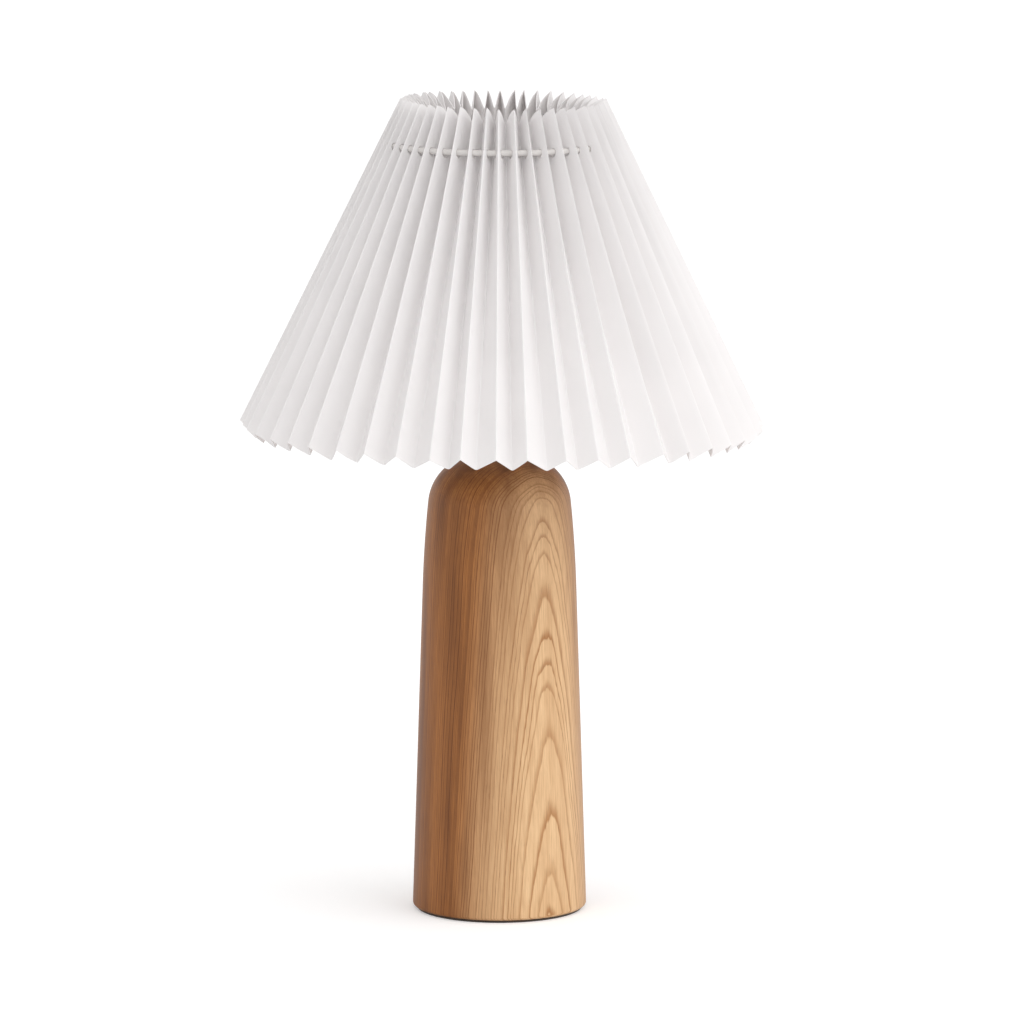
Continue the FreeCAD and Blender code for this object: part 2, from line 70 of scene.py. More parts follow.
# ---- Turned wooden body ----
# A blank of pale hardwood turned to a slim taper with a domed top, flat-sawn on its right side
# and quarter-sawn on its left, bored for the centre tube, recessed underneath, drilled from the
# rear for the cable inlet and finished with a satin lacquer.
wood_low, wood_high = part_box("wood_body")
foot_radius = 50 * MM
foot_round = 2 * MM
shoulder_radius = 29 * MM
shoulder_centre = (12 * MM, wood_high[2] - shoulder_radius)
shoulder_lean = math.radians(5.8)       # where the shoulder's round meets the waist's
waist_radius = 700 * MM
tube_hole_radius = 5.2 * MM
recess_radius = 32 * MM
recess_roof = wood_low[2] + 22.5 * MM
inlet_height = 12.75 * MM
inlet_seat = 46.6 * MM                  # where the bush's flange seats, behind the axis
channel_radius = 5.1 * MM
channel_start = 16 * MM                 # inside the recess, so that the cut goes right through
channel_end = 60 * MM
counterbore_radius = 7 * MM
rearward = Matrix.Translation((0, 0, inlet_height)) @ Matrix.Rotation(-math.pi / 2, 4, "X")


def arc_points(centre, radius, start, end, count):
    """Points (radius, height) of an arc in a turned profile; angles in radians."""
    points = []
    for i in range(count + 1):
        angle = start + (end - start) * i / count
        points.append((centre[0] + radius * math.cos(angle), centre[1] + radius * math.sin(angle)))
    return points


def upright(radius, low, high, count):
    """Evenly spaced points of a straight side; count steps from the lower end to the upper."""
    return [(radius, low + (high - low) * i / count) for i in range(count + 1)]


def touching_side(centre, radius, other_centre, other_radius):
    """Direction, in radians, in which one straight side touches two rounds of a profile."""
    run = other_centre[0] - centre[0]
    rise = other_centre[1] - centre[1]
    return math.atan2(rise, run) + math.acos((radius - other_radius) / math.hypot(run, rise))


def take(piece):
    """Selects one piece alone and makes it active."""
    bpy.ops.object.select_all(action="DESELECT")
    piece.select_set(True)
    bpy.context.view_layer.objects.active = piece


def turn(name, outline, slices=96, smooth_degrees=35, open_ends=False, place=None):
    """Spins an outline of (radius, height) points; an open one has both its ends on the axis."""
    mesh = bpy.data.meshes.new(name)
    count = len(outline)
    edges = [(i, (i + 1) % count) for i in range(count - 1 if open_ends else count)]
    mesh.from_pydata([(radius, 0, height) for radius, height in outline], edges, [])
    piece = bpy.data.objects.new(name, mesh)
    bpy.context.scene.collection.objects.link(piece)
    take(piece)
    bpy.ops.object.mode_set(mode="EDIT")
    bpy.ops.mesh.select_all(action="SELECT")
    bpy.ops.mesh.spin(steps=slices, angle=2 * math.pi, center=(0, 0, 0), axis=(0, 0, 1))
    bpy.ops.mesh.select_all(action="SELECT")
    bpy.ops.mesh.remove_doubles(threshold=0.00001)
    bpy.ops.mesh.dissolve_degenerate(threshold=0.000001)
    bpy.ops.mesh.select_all(action="SELECT")
    bpy.ops.mesh.normals_make_consistent(inside=False)
    bpy.ops.object.mode_set(mode="OBJECT")
    bpy.ops.object.shade_smooth_by_angle(angle=math.radians(smooth_degrees))
    if place:
        mesh.transform(place)
    return piece


def cut_away(piece, cutter, smooth_degrees=35):
    """Cuts one closed shape out of another and throws the cutter away."""
    take(piece)
    cut = piece.modifiers.new("cut", "BOOLEAN")
    cut.operation = "DIFFERENCE"
    cut.solver = "EXACT"
    cut.object = cutter
    bpy.ops.object.modifier_apply(modifier=cut.name)
    bpy.data.objects.remove(cutter)
    bpy.ops.object.shade_smooth_by_angle(angle=math.radians(smooth_degrees))


foot_centre = (foot_radius - foot_round, wood_low[2] + foot_round)
waist_centre = (
    shoulder_centre[0] - (waist_radius - shoulder_radius) * math.cos(shoulder_lean),
    shoulder_centre[1] - (waist_radius - shoulder_radius) * math.sin(shoulder_lean))
side_lean = touching_side(waist_centre, waist_radius, foot_centre, foot_round)
foot_curve = arc_points(foot_centre, foot_round, -math.pi / 2, side_lean, 6)
waist_curve = arc_points(waist_centre, waist_radius, side_lean, shoulder_lean, 10)
lower, upper = Vector(foot_curve[-1]), Vector(waist_curve[0])
wood_outline = foot_curve + [tuple(lower.lerp(upper, i / 12)) for i in range(1, 12)] + waist_curve
wood_outline += arc_points(shoulder_centre, shoulder_radius, shoulder_lean, math.pi / 2, 28)
wood_outline += [(tube_hole_radius, wood_high[2]), (tube_hole_radius, recess_roof)]
wood_outline += [(recess_radius, recess_roof), (recess_radius, wood_low[2])]
turned_body = turn("turned_wood_body", wood_outline, 160)
cable_channel = turn("cable_channel", [
    (0, channel_start), (channel_radius, channel_start), (channel_radius, inlet_seat),
    (counterbore_radius, inlet_seat), (counterbore_radius, channel_end), (0, channel_end)],
    48, open_ends=True, place=rearward)
cut_away(turned_body, cable_channel)


class Tree:
    """The node tree of a material or a world, with one short call for each node."""

    def __init__(self, name, kind="materials"):
        self.owner = getattr(bpy.data, kind).new(name)
        self.owner.use_nodes = True
        self.tree = self.owner.node_tree
        self.tree.nodes.clear()

    def node(self, kind, values=None, **settings):
        made = self.tree.nodes.new("ShaderNode" + kind)
        for key, value in settings.items():
            setattr(made, key, value)
        for socket, value in (values or {}).items():
            self.feed(made.inputs[socket], value)
        return made

    def feed(self, socket, value):
        if isinstance(value, bpy.types.NodeSocket):
            self.tree.links.new(value, socket)
        else:
            socket.default_value = value

    def math(self, operation, first, second=0.0, third=0.0):
        made = self.node("Math", {0: first, 1: second, 2: third}, operation=operation)
        return made.outputs[0]

    def vector(self, operation, first, second=(0, 0, 0)):
        made = self.node("VectorMath", {0: first, 1: second}, operation=operation)
        return made.outputs["Value"] if operation in ("LENGTH", "DOT_PRODUCT") else made.outputs[0]

    def noise(self, place, scale, detail=2.0, roughness=0.5, dimensions="3D"):
        values = {"Scale": scale, "Detail": detail, "Roughness": roughness}
        made = self.node("TexNoise", values, noise_dimensions=dimensions)
        self.feed(made.inputs["W" if dimensions == "1D" else "Vector"], place)
        return made.outputs["Fac"]

    def span(self, value, from_low, from_high, to_low=0.0, to_high=1.0, smooth=False):
        kind = "SMOOTHSTEP" if smooth else "LINEAR"
        values = {"Value": value, "From Min": from_low, "From Max": from_high,
                  "To Min": to_low, "To Max": to_high}
        return self.node("MapRange", values, interpolation_type=kind).outputs["Result"]

    def blend(self, share, first, second):
        made = self.node("Mix", data_type="RGBA")
        self.feed(made.inputs[0], share)
        self.feed(made.inputs[6], first)
        self.feed(made.inputs[7], second)
        return made.outputs[2]

    def bump(self, height, strength, distance):
        values = {"Height": height, "Strength": strength, "Distance": distance}
        return self.node("Bump", values).outputs["Normal"]

    def object_place(self):
        return self.node("TexCoord").outputs["Object"]

    def winding(self, pitch):
        """How many turns of a thread about the lamp's axis lie below each place."""
        parts = self.node("SeparateXYZ", {0: self.object_place()}).outputs
        around = self.math("DIVIDE", self.math("ARCTAN2", parts["Y"], parts["X"]), 2 * math.pi)
        return self.math("SUBTRACT", self.math("DIVIDE", parts["Z"], pitch), around)

    def output(self, shader):
        """Joins a shader to the material's output and gives the material."""
        self.node("OutputMaterial", {"Surface": shader})
        return self.owner

    def surface(self, values):
        return self.output(self.node("BsdfPrincipled", values).outputs["BSDF"])


def srgb(red, green, blue):
    """A colour as it looks on a screen, from 0 to 255, as the shader's linear values."""
    linear = []
    for value in (red, green, blue):
        share = value / 255
        linear.append(share / 12.92 if share <= 0.04045 else ((share + 0.055) / 1.055) ** 2.4)
    return (*linear, 1.0)


def wood_material():
    flat_sawn_turn = math.radians(37)      # the flat-sawn face, right of the front
    outward = (math.sin(flat_sawn_turn), -math.cos(flat_sawn_turn), 0)
    pith_distance = 0.15
    pith_tilt = 0.026
    ring_width = 0.0015
    ridge_slope = 0.13
    ridge_softness = 0.003
    wave_depth = 0.0042
    ripple_depth = 0.0011
    uneven_years = 2.4                     # how far wide and narrow rings drift, in rings
    heart_and_shade_end, sap_and_light_start = pith_distance + 0.014, pith_distance + 0.046
    tree = Tree("lacquered_wood")
    place = tree.object_place()
    height = tree.node("SeparateXYZ", {0: place}).outputs["Z"]
    # slow waves of the grain, long up the trunk and short across it
    wave = tree.noise(tree.vector("MULTIPLY", place, (1, 1, 0.25)), 26, 1.5)
    ripple = tree.noise(tree.vector("MULTIPLY", place, (1, 1, 0.16)), 130, 3, 0.6)
    pith_back = tuple(value * pith_distance for value in outward)
    across = tree.vector("ADD", tree.vector("MULTIPLY", place, (1, 1, 0)), pith_back)
    distance = tree.math("MULTIPLY_ADD", height, -pith_tilt, tree.vector("LENGTH", across))
    # a ridge up the flat-sawn face draws the rings' arches to a point
    sideways = tree.vector("DOT_PRODUCT", place, (-outward[1], outward[0], 0))
    ridge = tree.math("SQRT", tree.math("MULTIPLY_ADD", sideways, sideways, ridge_softness ** 2))
    distance = tree.math("MULTIPLY_ADD", ridge, -ridge_slope, distance)
    waved = tree.math("MULTIPLY_ADD", tree.math("SUBTRACT", wave, 0.5), wave_depth, distance)
    waved = tree.math("MULTIPLY_ADD", tree.math("SUBTRACT", ripple, 0.5), ripple_depth, waved)
    count = tree.math("DIVIDE", waved, ring_width)
    uneven = tree.noise(count, 0.33, 1, dimensions="1D")
    count = tree.math("MULTIPLY_ADD", uneven, uneven_years, count)
    inside = tree.math("FRACT", count)
    year = tree.node("TexWhiteNoise", {"W": tree.math("FLOOR", count)}, noise_dimensions="1D")
    strength = tree.span(year.outputs["Value"], 0.0, 1.0, 0.45, 1.0)
    darkening = tree.span(inside, 0.5, 0.92, smooth=True)
    late = tree.math("MULTIPLY", darkening, tree.span(inside, 0.93, 1.0, 1.0, 0.0))
    late = tree.math("MULTIPLY", tree.math("POWER", late, 1.5), strength)
    # fibres and pores, drawn out along the trunk
    fibre = tree.noise(tree.vector("MULTIPLY", place, (1, 1, 0.02)), 1300, 3, 0.6)
    pores = tree.noise(tree.vector("MULTIPLY", place, (1, 1, 0.05)), 2400, 1)
    pore_share = tree.span(late, 0.0, 0.5, 0.3, 1.0)
    pores = tree.math("MULTIPLY", tree.span(pores, 0.58, 0.70), pore_share)
    # browner and more streaked towards the heart on the rear and left, paler towards the bark on the
    # front right
    # the heart side's darker tone is partly the wood's own and partly painted shade for the side away
    # from the key light
    sapwood_and_lit_side = tree.span(distance, heart_and_shade_end, sap_and_light_start, smooth=True)
    pale = tree.blend(sapwood_and_lit_side, srgb(172, 111, 58), srgb(238, 200, 154))
    dark = tree.blend(sapwood_and_lit_side, srgb(98, 54, 25), srgb(172, 118, 70))
    streak = tree.noise(tree.vector("MULTIPLY", place, (1, 1, 0.06)), 90, 2)
    streak_share = tree.span(sapwood_and_lit_side, 0.0, 1.0, 0.62, 0.24)
    streak = tree.math("MULTIPLY", tree.span(streak, 0.40, 0.66), streak_share)
    colour = tree.blend(late, pale, dark)
    colour = tree.blend(streak, colour, dark)
    colour = tree.blend(tree.span(fibre, 0.36, 0.72, 0.0, 0.4), colour, dark)
    colour = tree.blend(tree.math("MULTIPLY", pores, 0.3), colour, srgb(86, 48, 22))
    grain = tree.math("MULTIPLY_ADD", fibre, 0.4, tree.math("MULTIPLY", pores, -1.0))
    return tree.surface({
        "Base Color": colour,
        "Roughness": tree.span(late, 0.0, 1.0, 0.44, 0.38),
        "Coat Weight": 0.05,
        "Coat Roughness": 0.3,
        "Specular IOR Level": 0.25,
        "Normal": tree.bump(grain, 0.12, 0.0002)})


def finish_piece(piece, material, body, slot, *nodes):
    """Gives a piece its material, the body that it moves with and the nodes that it stands for."""
    piece.data.materials.clear()
    piece.data.materials.append(material)
    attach(piece, body)
    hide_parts(*nodes)


finish_piece(turned_body, wood_material(), "base", "wood", "wood_body")


# ---- Felt pad ----
# A disc of dark wool felt glued under the foot, a little smaller than the foot, so that it shows
# as a thin dark line where the lamp stands.
pad_radius = 47.5 * MM
pad_top = wood_low[2]
pad_edge = 0.4 * MM


def felt_material():
    tree = Tree("dark_felt")
    place = tree.object_place()
    hairs = tree.noise(place, 1800, 5, 0.7)
    matted = tree.noise(place, 160, 3)
    colour = tree.blend(tree.span(matted, 0.3, 0.7), srgb(66, 58, 52), srgb(82, 72, 64))
    colour = tree.blend(tree.span(hairs, 0.45, 0.75, 0.0, 0.6), colour, srgb(112, 102, 94))
    return tree.surface({
        "Base Color": colour,
        "Roughness": tree.span(hairs, 0.3, 0.7, 0.9, 1.0),
        "Sheen Weight": 0.3,
        "Sheen Roughness": 0.5,
        "Specular IOR Level": 0.2,
        "Normal": tree.bump(tree.math("ADD", hairs, matted), 0.5, 0.0004)})


edge_centre = pad_radius - pad_edge
felt_outline = [(0, 0), (pad_radius / 2, 0)]
felt_outline += arc_points((edge_centre, pad_edge), pad_edge, -math.pi / 2, 0, 3)
felt_outline += arc_points((edge_centre, pad_top - pad_edge), pad_edge, 0, math.pi / 2, 3)
felt_outline += [(pad_radius / 2, pad_top), (0, pad_top)]
felt_disc = turn("felt_disc", felt_outline, 128, 50, open_ends=True)
finish_piece(felt_disc, felt_material(), "base", "felt", "felt_pad")


# ---- Cable inlet bush ----
# A moulded grommet pressed into the hole at the rear of the foot, its rounded flange seated in a
# shallow counterbore; the lead itself isn't part of the lamp.
bush_radius = 5 * MM
bush_bore = 3.2 * MM
bush_start = 30.6 * MM
bush_chamfer = 0.4 * MM
mouth_round = 0.6 * MM
flange_radius = 6.8 * MM
flange_round = 1 * MM
flange_out = inlet_seat + 2 * MM


def fine_unevenness_group():
    """Shared by all smooth finishes: slight unevenness of tone and surface."""
    group = bpy.data.node_groups.new("fine_unevenness", "ShaderNodeTree")
    for name, way, kind in (
            ("Place", "INPUT", "Vector"), ("Scale", "INPUT", "Float"), ("Strength", "INPUT", "Float"),
            ("Broad", "OUTPUT", "Float"), ("Fine", "OUTPUT", "Float"), ("Normal", "OUTPUT", "Vector")):
        group.interface.new_socket(name, in_out=way, socket_type="NodeSocket" + kind)
    given = group.nodes.new("NodeGroupInput")
    result = group.nodes.new("NodeGroupOutput")
    broad = group.nodes.new("ShaderNodeTexNoise")
    fine = group.nodes.new("ShaderNodeTexNoise")
    finer = group.nodes.new("ShaderNodeMath")
    finer.operation = "MULTIPLY"
    finer.inputs[1].default_value = 9.0
    bump = group.nodes.new("ShaderNodeBump")
    bump.inputs["Distance"].default_value = 0.00008
    fine.inputs["Detail"].default_value = 4.0
    link = group.links.new
    link(given.outputs["Place"], broad.inputs["Vector"])
    link(given.outputs["Place"], fine.inputs["Vector"])
    link(given.outputs["Scale"], broad.inputs["Scale"])
    link(given.outputs["Scale"], finer.inputs[0])
    link(finer.outputs[0], fine.inputs["Scale"])
    link(fine.outputs["Fac"], bump.inputs["Height"])
    link(given.outputs["Strength"], bump.inputs["Strength"])
    link(broad.outputs["Fac"], result.inputs["Broad"])
    link(fine.outputs["Fac"], result.inputs["Fine"])
    link(bump.outputs["Normal"], result.inputs["Normal"])
    return group


fine_unevenness = fine_unevenness_group()


def smooth_finish(name, colours, roughness, scale, strength, **shader):
    """A moulded, glazed, coated or metal finish: two close colours and a span of roughness."""
    tree = Tree(name)
    marks = tree.node("Group", node_tree=fine_unevenness)
    tree.feed(marks.inputs["Place"], tree.object_place())
    tree.feed(marks.inputs["Scale"], scale)
    tree.feed(marks.inputs["Strength"], strength)
    values = {
        "Base Color": tree.blend(tree.span(marks.outputs["Broad"], 0.3, 0.7), *colours),
        "Roughness": tree.span(marks.outputs["Fine"], 0.3, 0.7, *roughness),
        "Normal": marks.outputs["Normal"]}
    for socket, value in shader.items():
        values[socket.replace("_", " ")] = value
    return tree.surface(values)


white_plastic = smooth_finish(
    "white_moulded_plastic", (srgb(232, 230, 226), srgb(238, 236, 232)), (0.34, 0.46), 260, 0.12,
    Specular_IOR_Level=0.5)
bush_outline = [(bush_bore, bush_start), (bush_radius - bush_chamfer, bush_start)]
bush_outline += [(bush_radius, bush_start + bush_chamfer)]
bush_outline += [(bush_radius, inlet_seat), (flange_radius, inlet_seat)]
bush_outline += arc_points(
    (flange_radius - flange_round, flange_out - flange_round), flange_round, 0, math.pi / 2, 6)
bush_outline += arc_points(
    (bush_bore + mouth_round, flange_out - mouth_round), mouth_round, math.pi / 2, math.pi, 5)
inlet_bush = turn("inlet_bush", bush_outline, 48, place=rearward)
finish_piece(inlet_bush, white_plastic, "base", "white_plastic", "cable_bush")


# ---- Centre tube and its fasteners ----
# A zinc-plated M10 threaded tube that runs through the wood, held by a broad washer and a nut up
# in the recess, and above the wood by a bevelled seat ring and a lock nut.
zinc_plated = smooth_finish(
    "zinc_plated_steel", (srgb(176, 178, 180), srgb(198, 200, 200)), (0.28, 0.44), 320, 0.15,
    Metallic=1.0)
tube_thread_pitch = 1 * MM
seat_low, seat_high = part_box("seat_ring")
seat_edge = 0.2 * MM
seat_rim = 1 * MM                       # height of its upright rim, under the bevel
seat_top_radius = 9.4 * MM


def threaded_steel():
    """The tube's fine thread, as a relief that winds about the lamp's axis, with painted shade in its
    groove and a painted highlight on its crest.
    """
    tree = Tree("threaded_steel")
    ridge = tree.math("PINGPONG", tree.winding(tube_thread_pitch), 0.5)
    dull = tree.noise(tree.object_place(), 420, 3)
    # painted shade in the thread's groove and a painted highlight on its crest: the colour follows the
    # relief
    colour = tree.blend(ridge, srgb(120, 122, 124), srgb(200, 200, 198))
    return tree.surface({
        "Base Color": colour,
        "Roughness": tree.span(dull, 0.3, 0.7, 0.3, 0.5),
        "Metallic": 1.0,
        "Normal": tree.bump(ridge, 0.9, 0.0006)})


def finish_node(name, material):
    """Gives a CAD node that stays in view its material."""
    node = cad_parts[name]
    node.data.materials.clear()
    node.data.materials.append(material)


finish_node("threaded_tube", threaded_steel())
finish_node("recess_nut", zinc_plated)
finish_node("lock_nut", zinc_plated)
washer_low, washer_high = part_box("recess_washer")
washer_edge = 0.3 * MM
recess_disc = turn("recess_disc", [
    (tube_hole_radius, washer_low[2]), (washer_high[0] - washer_edge, washer_low[2]),
    (washer_high[0], washer_low[2] + washer_edge), (washer_high[0], washer_high[2] - washer_edge),
    (washer_high[0] - washer_edge, washer_high[2]), (tube_hole_radius, washer_high[2])], 96, 25)
finish_piece(recess_disc, zinc_plated, "base", "steel", "recess_washer")
bevelled_ring = turn("bevelled_seat_ring", [
    (tube_hole_radius, seat_low[2]), (seat_high[0] - seat_edge, seat_low[2]),
    (seat_high[0], seat_low[2] + seat_edge), (seat_high[0], seat_low[2] + seat_rim),
    (seat_top_radius, seat_high[2] - 0.3 * MM), (seat_top_radius - 0.4 * MM, seat_high[2]),
    (tube_hole_radius, seat_high[2])], 96, 25)
finish_piece(bevelled_ring, zinc_plated, "base", "steel", "seat_ring")


# ---- Lampholder ----
# A moulded screw lampholder: a domed cap locked on the tube by a grub screw, a sleeve whose outer
# thread takes the clamp ring, and inside it a porcelain core with terminals, contacts and the
# rolled brass screw shell.
neck_radius = 8.5 * MM
holder_foot = 271 * MM
holder_roof = 284 * MM                  # under the dome, where the core sits
holder_split = 296 * MM                 # where the cap and the sleeve meet
screw_radius = 1.6 * MM
screw_height = 276.5 * MM
sleeve_radius = 20 * MM
collar_radius = 23 * MM
collar_low, collar_high = 298.5 * MM, 300.5 * MM
mouth_radius = 14.9 * MM
sleeve_bore = 17 * MM
sleeve_top = 331 * MM
sleeve_thread_low, sleeve_thread_high = 300.8 * MM, 330 * MM
sleeve_thread_depth = 0.7 * MM
sleeve_thread_pitch = 2.4 * MM
shell_thread_pitch = 3.62 * MM          # of the screw shell and of the bulb's cap


def cut_thread(piece, radius, low, high, depth, pitch, run_out):
    """Sinks a round-bottomed helical groove into the side of a turned piece."""
    for vertex in piece.data.vertices:
        x, y, z = vertex.co
        away = math.hypot(x, y)
        if abs(away - radius) > 0.00002 or not low < z < high:
            continue
        turns = z / pitch - math.atan2(y, x) / (2 * math.pi)
        groove = 0.5 - 0.5 * math.cos(2 * math.pi * turns)
        fade = min(1, (z - low) / run_out, (high - z) / run_out)
        sunk = (away - depth * groove * fade) / away
        vertex.co.x = x * sunk
        vertex.co.y = y * sunk


def in_mm(*points):
    """Points of a turned profile written in millimetres."""
    return [(radius * MM, height * MM) for radius, height in points]


holder_outline = [(tube_hole_radius, holder_foot), (neck_radius - 0.5 * MM, holder_foot)]
holder_outline += [(neck_radius, holder_foot + 0.5 * MM), (neck_radius, 281 * MM)]
holder_outline += in_mm((8.9, 281.8), (14.4, 285.4), (16.6, 287.4), (18, 289.6), (19.4, 293.4))
holder_outline += [(sleeve_radius, holder_split - 0.6 * MM), (sleeve_radius, holder_split)]
holder_outline += [(sleeve_bore, holder_split), (15 * MM, 289 * MM)]
holder_outline += [(7.2 * MM, holder_roof), (tube_hole_radius, holder_roof)]
domed_cap = turn("domed_cap", holder_outline, 96, 30)
screw_hole = turn("screw_hole", [
    (0, 3 * MM), (screw_radius, 3 * MM), (screw_radius, 12 * MM), (0, 12 * MM)], 24, open_ends=True,
    place=Matrix.Translation((0, 0, screw_height)) @ Matrix.Rotation(-math.pi / 2, 4, "X"))
cut_away(domed_cap, screw_hole, 30)
finish_piece(domed_cap, white_plastic, "base", "white_plastic", "holder_cap")

sleeve_outline = [(18.4 * MM, holder_split), (sleeve_radius - 0.2 * MM, holder_split)]
sleeve_outline += [(sleeve_radius, holder_split + 0.2 * MM), (sleeve_radius, collar_low)]
sleeve_outline += [(collar_radius - 0.3 * MM, collar_low), (collar_radius, collar_low + 0.3 * MM)]
sleeve_outline += [(collar_radius, collar_high - 0.3 * MM), (collar_radius - 0.3 * MM, collar_high)]
sleeve_outline += upright(sleeve_radius, collar_high, sleeve_top - 0.8 * MM, 100)
sleeve_outline += [(sleeve_radius - 0.6 * MM, sleeve_top), (mouth_radius + 0.4 * MM, sleeve_top)]
sleeve_outline += [(mouth_radius, sleeve_top - 0.4 * MM), (mouth_radius, sleeve_top - 2 * MM)]
sleeve_outline += [(sleeve_bore, sleeve_top - 2 * MM), (sleeve_bore, 298 * MM), (18.4 * MM, 298 * MM)]
threaded_sleeve = turn("threaded_sleeve", sleeve_outline, 96, 30)
cut_thread(threaded_sleeve, sleeve_radius, sleeve_thread_low, sleeve_thread_high,
           sleeve_thread_depth, sleeve_thread_pitch, 1.5 * MM)
finish_piece(threaded_sleeve, white_plastic, "base", "white_plastic", "holder_sleeve")

brass = smooth_finish(
    "rolled_brass", (srgb(196, 160, 92), srgb(214, 180, 112)), (0.22, 0.38), 300, 0.12,
    Metallic=1.0)
porcelain = smooth_finish(
    "glazed_porcelain", (srgb(232, 228, 218), srgb(240, 238, 230)), (0.12, 0.22), 140, 0.08,
    Coat_Weight=0.6, Coat_Roughness=0.08)
blued_steel = smooth_finish(
    "dark_screw_steel", (srgb(92, 90, 90), srgb(122, 120, 118)), (0.3, 0.5), 600, 0.2,
    Metallic=1.0)


def rolled_thread_brass():
    """The shell's round thread, pressed into thin brass."""
    tree = Tree("rolled_thread_brass")
    turns = tree.winding(shell_thread_pitch)
    roll = tree.math("SINE", tree.math("MULTIPLY", turns, 2 * math.pi))
    tarnish = tree.noise(tree.object_place(), 260, 4)
    colour = tree.blend(tree.span(tarnish, 0.35, 0.7), srgb(206, 170, 100), srgb(178, 140, 78))
    return tree.surface({
        "Base Color": colour,
        "Roughness": tree.span(tarnish, 0.3, 0.7, 0.24, 0.42),
        "Metallic": 1.0,
        "Normal": tree.bump(roll, 1.0, 0.0009)})


finish_node("grub_screw", blued_steel)
finish_node("holder_core", porcelain)
finish_node("screw_shell", rolled_thread_brass())
finish_node("centre_contact", brass)
finish_node("side_contact", brass)
finish_node("terminal_blocks", brass)
finish_node("terminal_screws", zinc_plated)


# ---- Wire carrier ----
# A flat steel hub that drops over the lampholder's thread, with three bent wire arms welded to its
# rim; each arm stands up inside a pleat and carries the shade's ring on a short finger. All of it
# is dipped in a white coating.
hub_low, hub_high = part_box("carrier_hub")
ring_low, ring_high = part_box("ring_wire")
ring_wire_radius = (ring_high[2] - ring_low[2]) / 2
ring_radius = ring_high[0] - ring_wire_radius
ring_height = (ring_high[2] + ring_low[2]) / 2
hub_bore = 20.3 * MM
hub_radius = hub_high[0]
arm_radius = 1.1 * MM
finger_radius = 1.0 * MM
arm_post = ring_radius - ring_wire_radius - 0.5 * MM - arm_radius
arm_turns = (90, 210, 330)
white_coating = smooth_finish(
    "white_coated_wire", (srgb(212, 208, 205), srgb(220, 216, 213)), (0.5, 0.62), 380, 0.15,
    Specular_IOR_Level=0.3)


def wire(name, points, radius, bend=0.0):
    """A round wire through the points, bent at its corners, with closed ends."""
    path = [Vector(points[0])]
    for before, corner, after in zip(points, points[1:], points[2:]):
        before, corner, after = Vector(before), Vector(corner), Vector(after)
        towards = (before - corner).normalized()
        away = (after - corner).normalized()
        half = towards.angle(away) / 2
        if not bend:
            path.append(corner)
            continue
        setback = bend / math.tan(half)
        centre = corner + (towards + away).normalized() * bend / math.sin(half)
        start = corner + towards * setback - centre
        end = corner + away * setback - centre
        for i in range(9):
            path.append(centre + start.slerp(end, i / 8) * bend)
    path.append(Vector(points[-1]))
    curve = bpy.data.curves.new(name, "CURVE")
    curve.dimensions = "3D"
    curve.bevel_depth = radius
    curve.bevel_resolution = 4
    curve.use_fill_caps = True
    spline = curve.splines.new("POLY")
    spline.points.add(len(path) - 1)
    for point, place in zip(spline.points, path):
        point.co = (*place, 1)
    piece = bpy.data.objects.new(name, curve)
    bpy.context.scene.collection.objects.link(piece)
    take(piece)
    bpy.ops.object.convert(target="MESH")
    piece = bpy.context.object
    bpy.ops.object.mode_set(mode="EDIT")
    bpy.ops.mesh.select_all(action="SELECT")
    bpy.ops.mesh.remove_doubles(threshold=0.000005)
    bpy.ops.mesh.normals_make_consistent(inside=False)
    bpy.ops.object.mode_set(mode="OBJECT")
    bpy.ops.object.shade_smooth_by_angle(angle=math.radians(50))
    return piece


def join(pieces, name):
    """Makes one piece of several that are welded or pressed together."""
    bpy.ops.object.select_all(action="DESELECT")
    for piece in pieces:
        piece.select_set(True)
    bpy.context.view_layer.objects.active = pieces[0]
    bpy.ops.object.join()
    pieces[0].name = name
    return pieces[0]


def around_axis(degrees, radius, height):
    angle = math.radians(degrees)
    return (radius * math.cos(angle), radius * math.sin(angle), height)


def weld_bead(centre, size):
    """A small flattened bead of weld."""
    bpy.ops.object.select_all(action="DESELECT")
    bpy.ops.mesh.primitive_ico_sphere_add(subdivisions=3, radius=1)
    bead = bpy.context.object
    bead.data.transform(Matrix.Translation(centre) @ Matrix.Diagonal((*size, 1)))
    bpy.ops.object.shade_smooth()
    return bead


hub_edge = 0.4 * MM
hub_plate = turn("hub_plate", [
    (hub_bore, hub_low[2]), (hub_radius - hub_edge, hub_low[2]),
    (hub_radius, hub_low[2] + hub_edge), (hub_radius, hub_high[2] - hub_edge),
    (hub_radius - hub_edge, hub_high[2]), (hub_bore, hub_high[2])], 96, 50)
finish_piece(hub_plate, white_coating, "carrier", "white_wire", "carrier_hub")

arm_pieces = []
hub_level = (hub_low[2] + hub_high[2]) / 2
post_top = ring_height + 3 * MM
finger_level = ring_height - ring_wire_radius - 0.3 * MM - finger_radius
for degrees in arm_turns:
    arm_pieces.append(wire("arm", [
        around_axis(degrees, hub_radius - 0.3 * MM, hub_level),
        around_axis(degrees, hub_radius + 18 * MM, hub_level),
        around_axis(degrees, arm_post, post_top - 20 * MM),
        around_axis(degrees, arm_post, post_top)], arm_radius, 12 * MM))
    arm_pieces.append(wire("finger", [
        around_axis(degrees, arm_post, finger_level),
        around_axis(degrees, ring_radius + 0.6 * MM, finger_level)], finger_radius))
    arm_pieces.append(weld_bead(around_axis(degrees, hub_radius + 0.2 * MM, hub_level),
                                (1.3 * MM, 1.3 * MM, 1.0 * MM)))
    arm_pieces.append(weld_bead(around_axis(degrees, arm_post + 0.3 * MM, finger_level),
                                (1.35 * MM, 1.35 * MM, 1.2 * MM)))
wire_arms = join(arm_pieces, "wire_arms")
finish_piece(wire_arms, white_coating, "carrier", "white_wire", "carrier_arms")


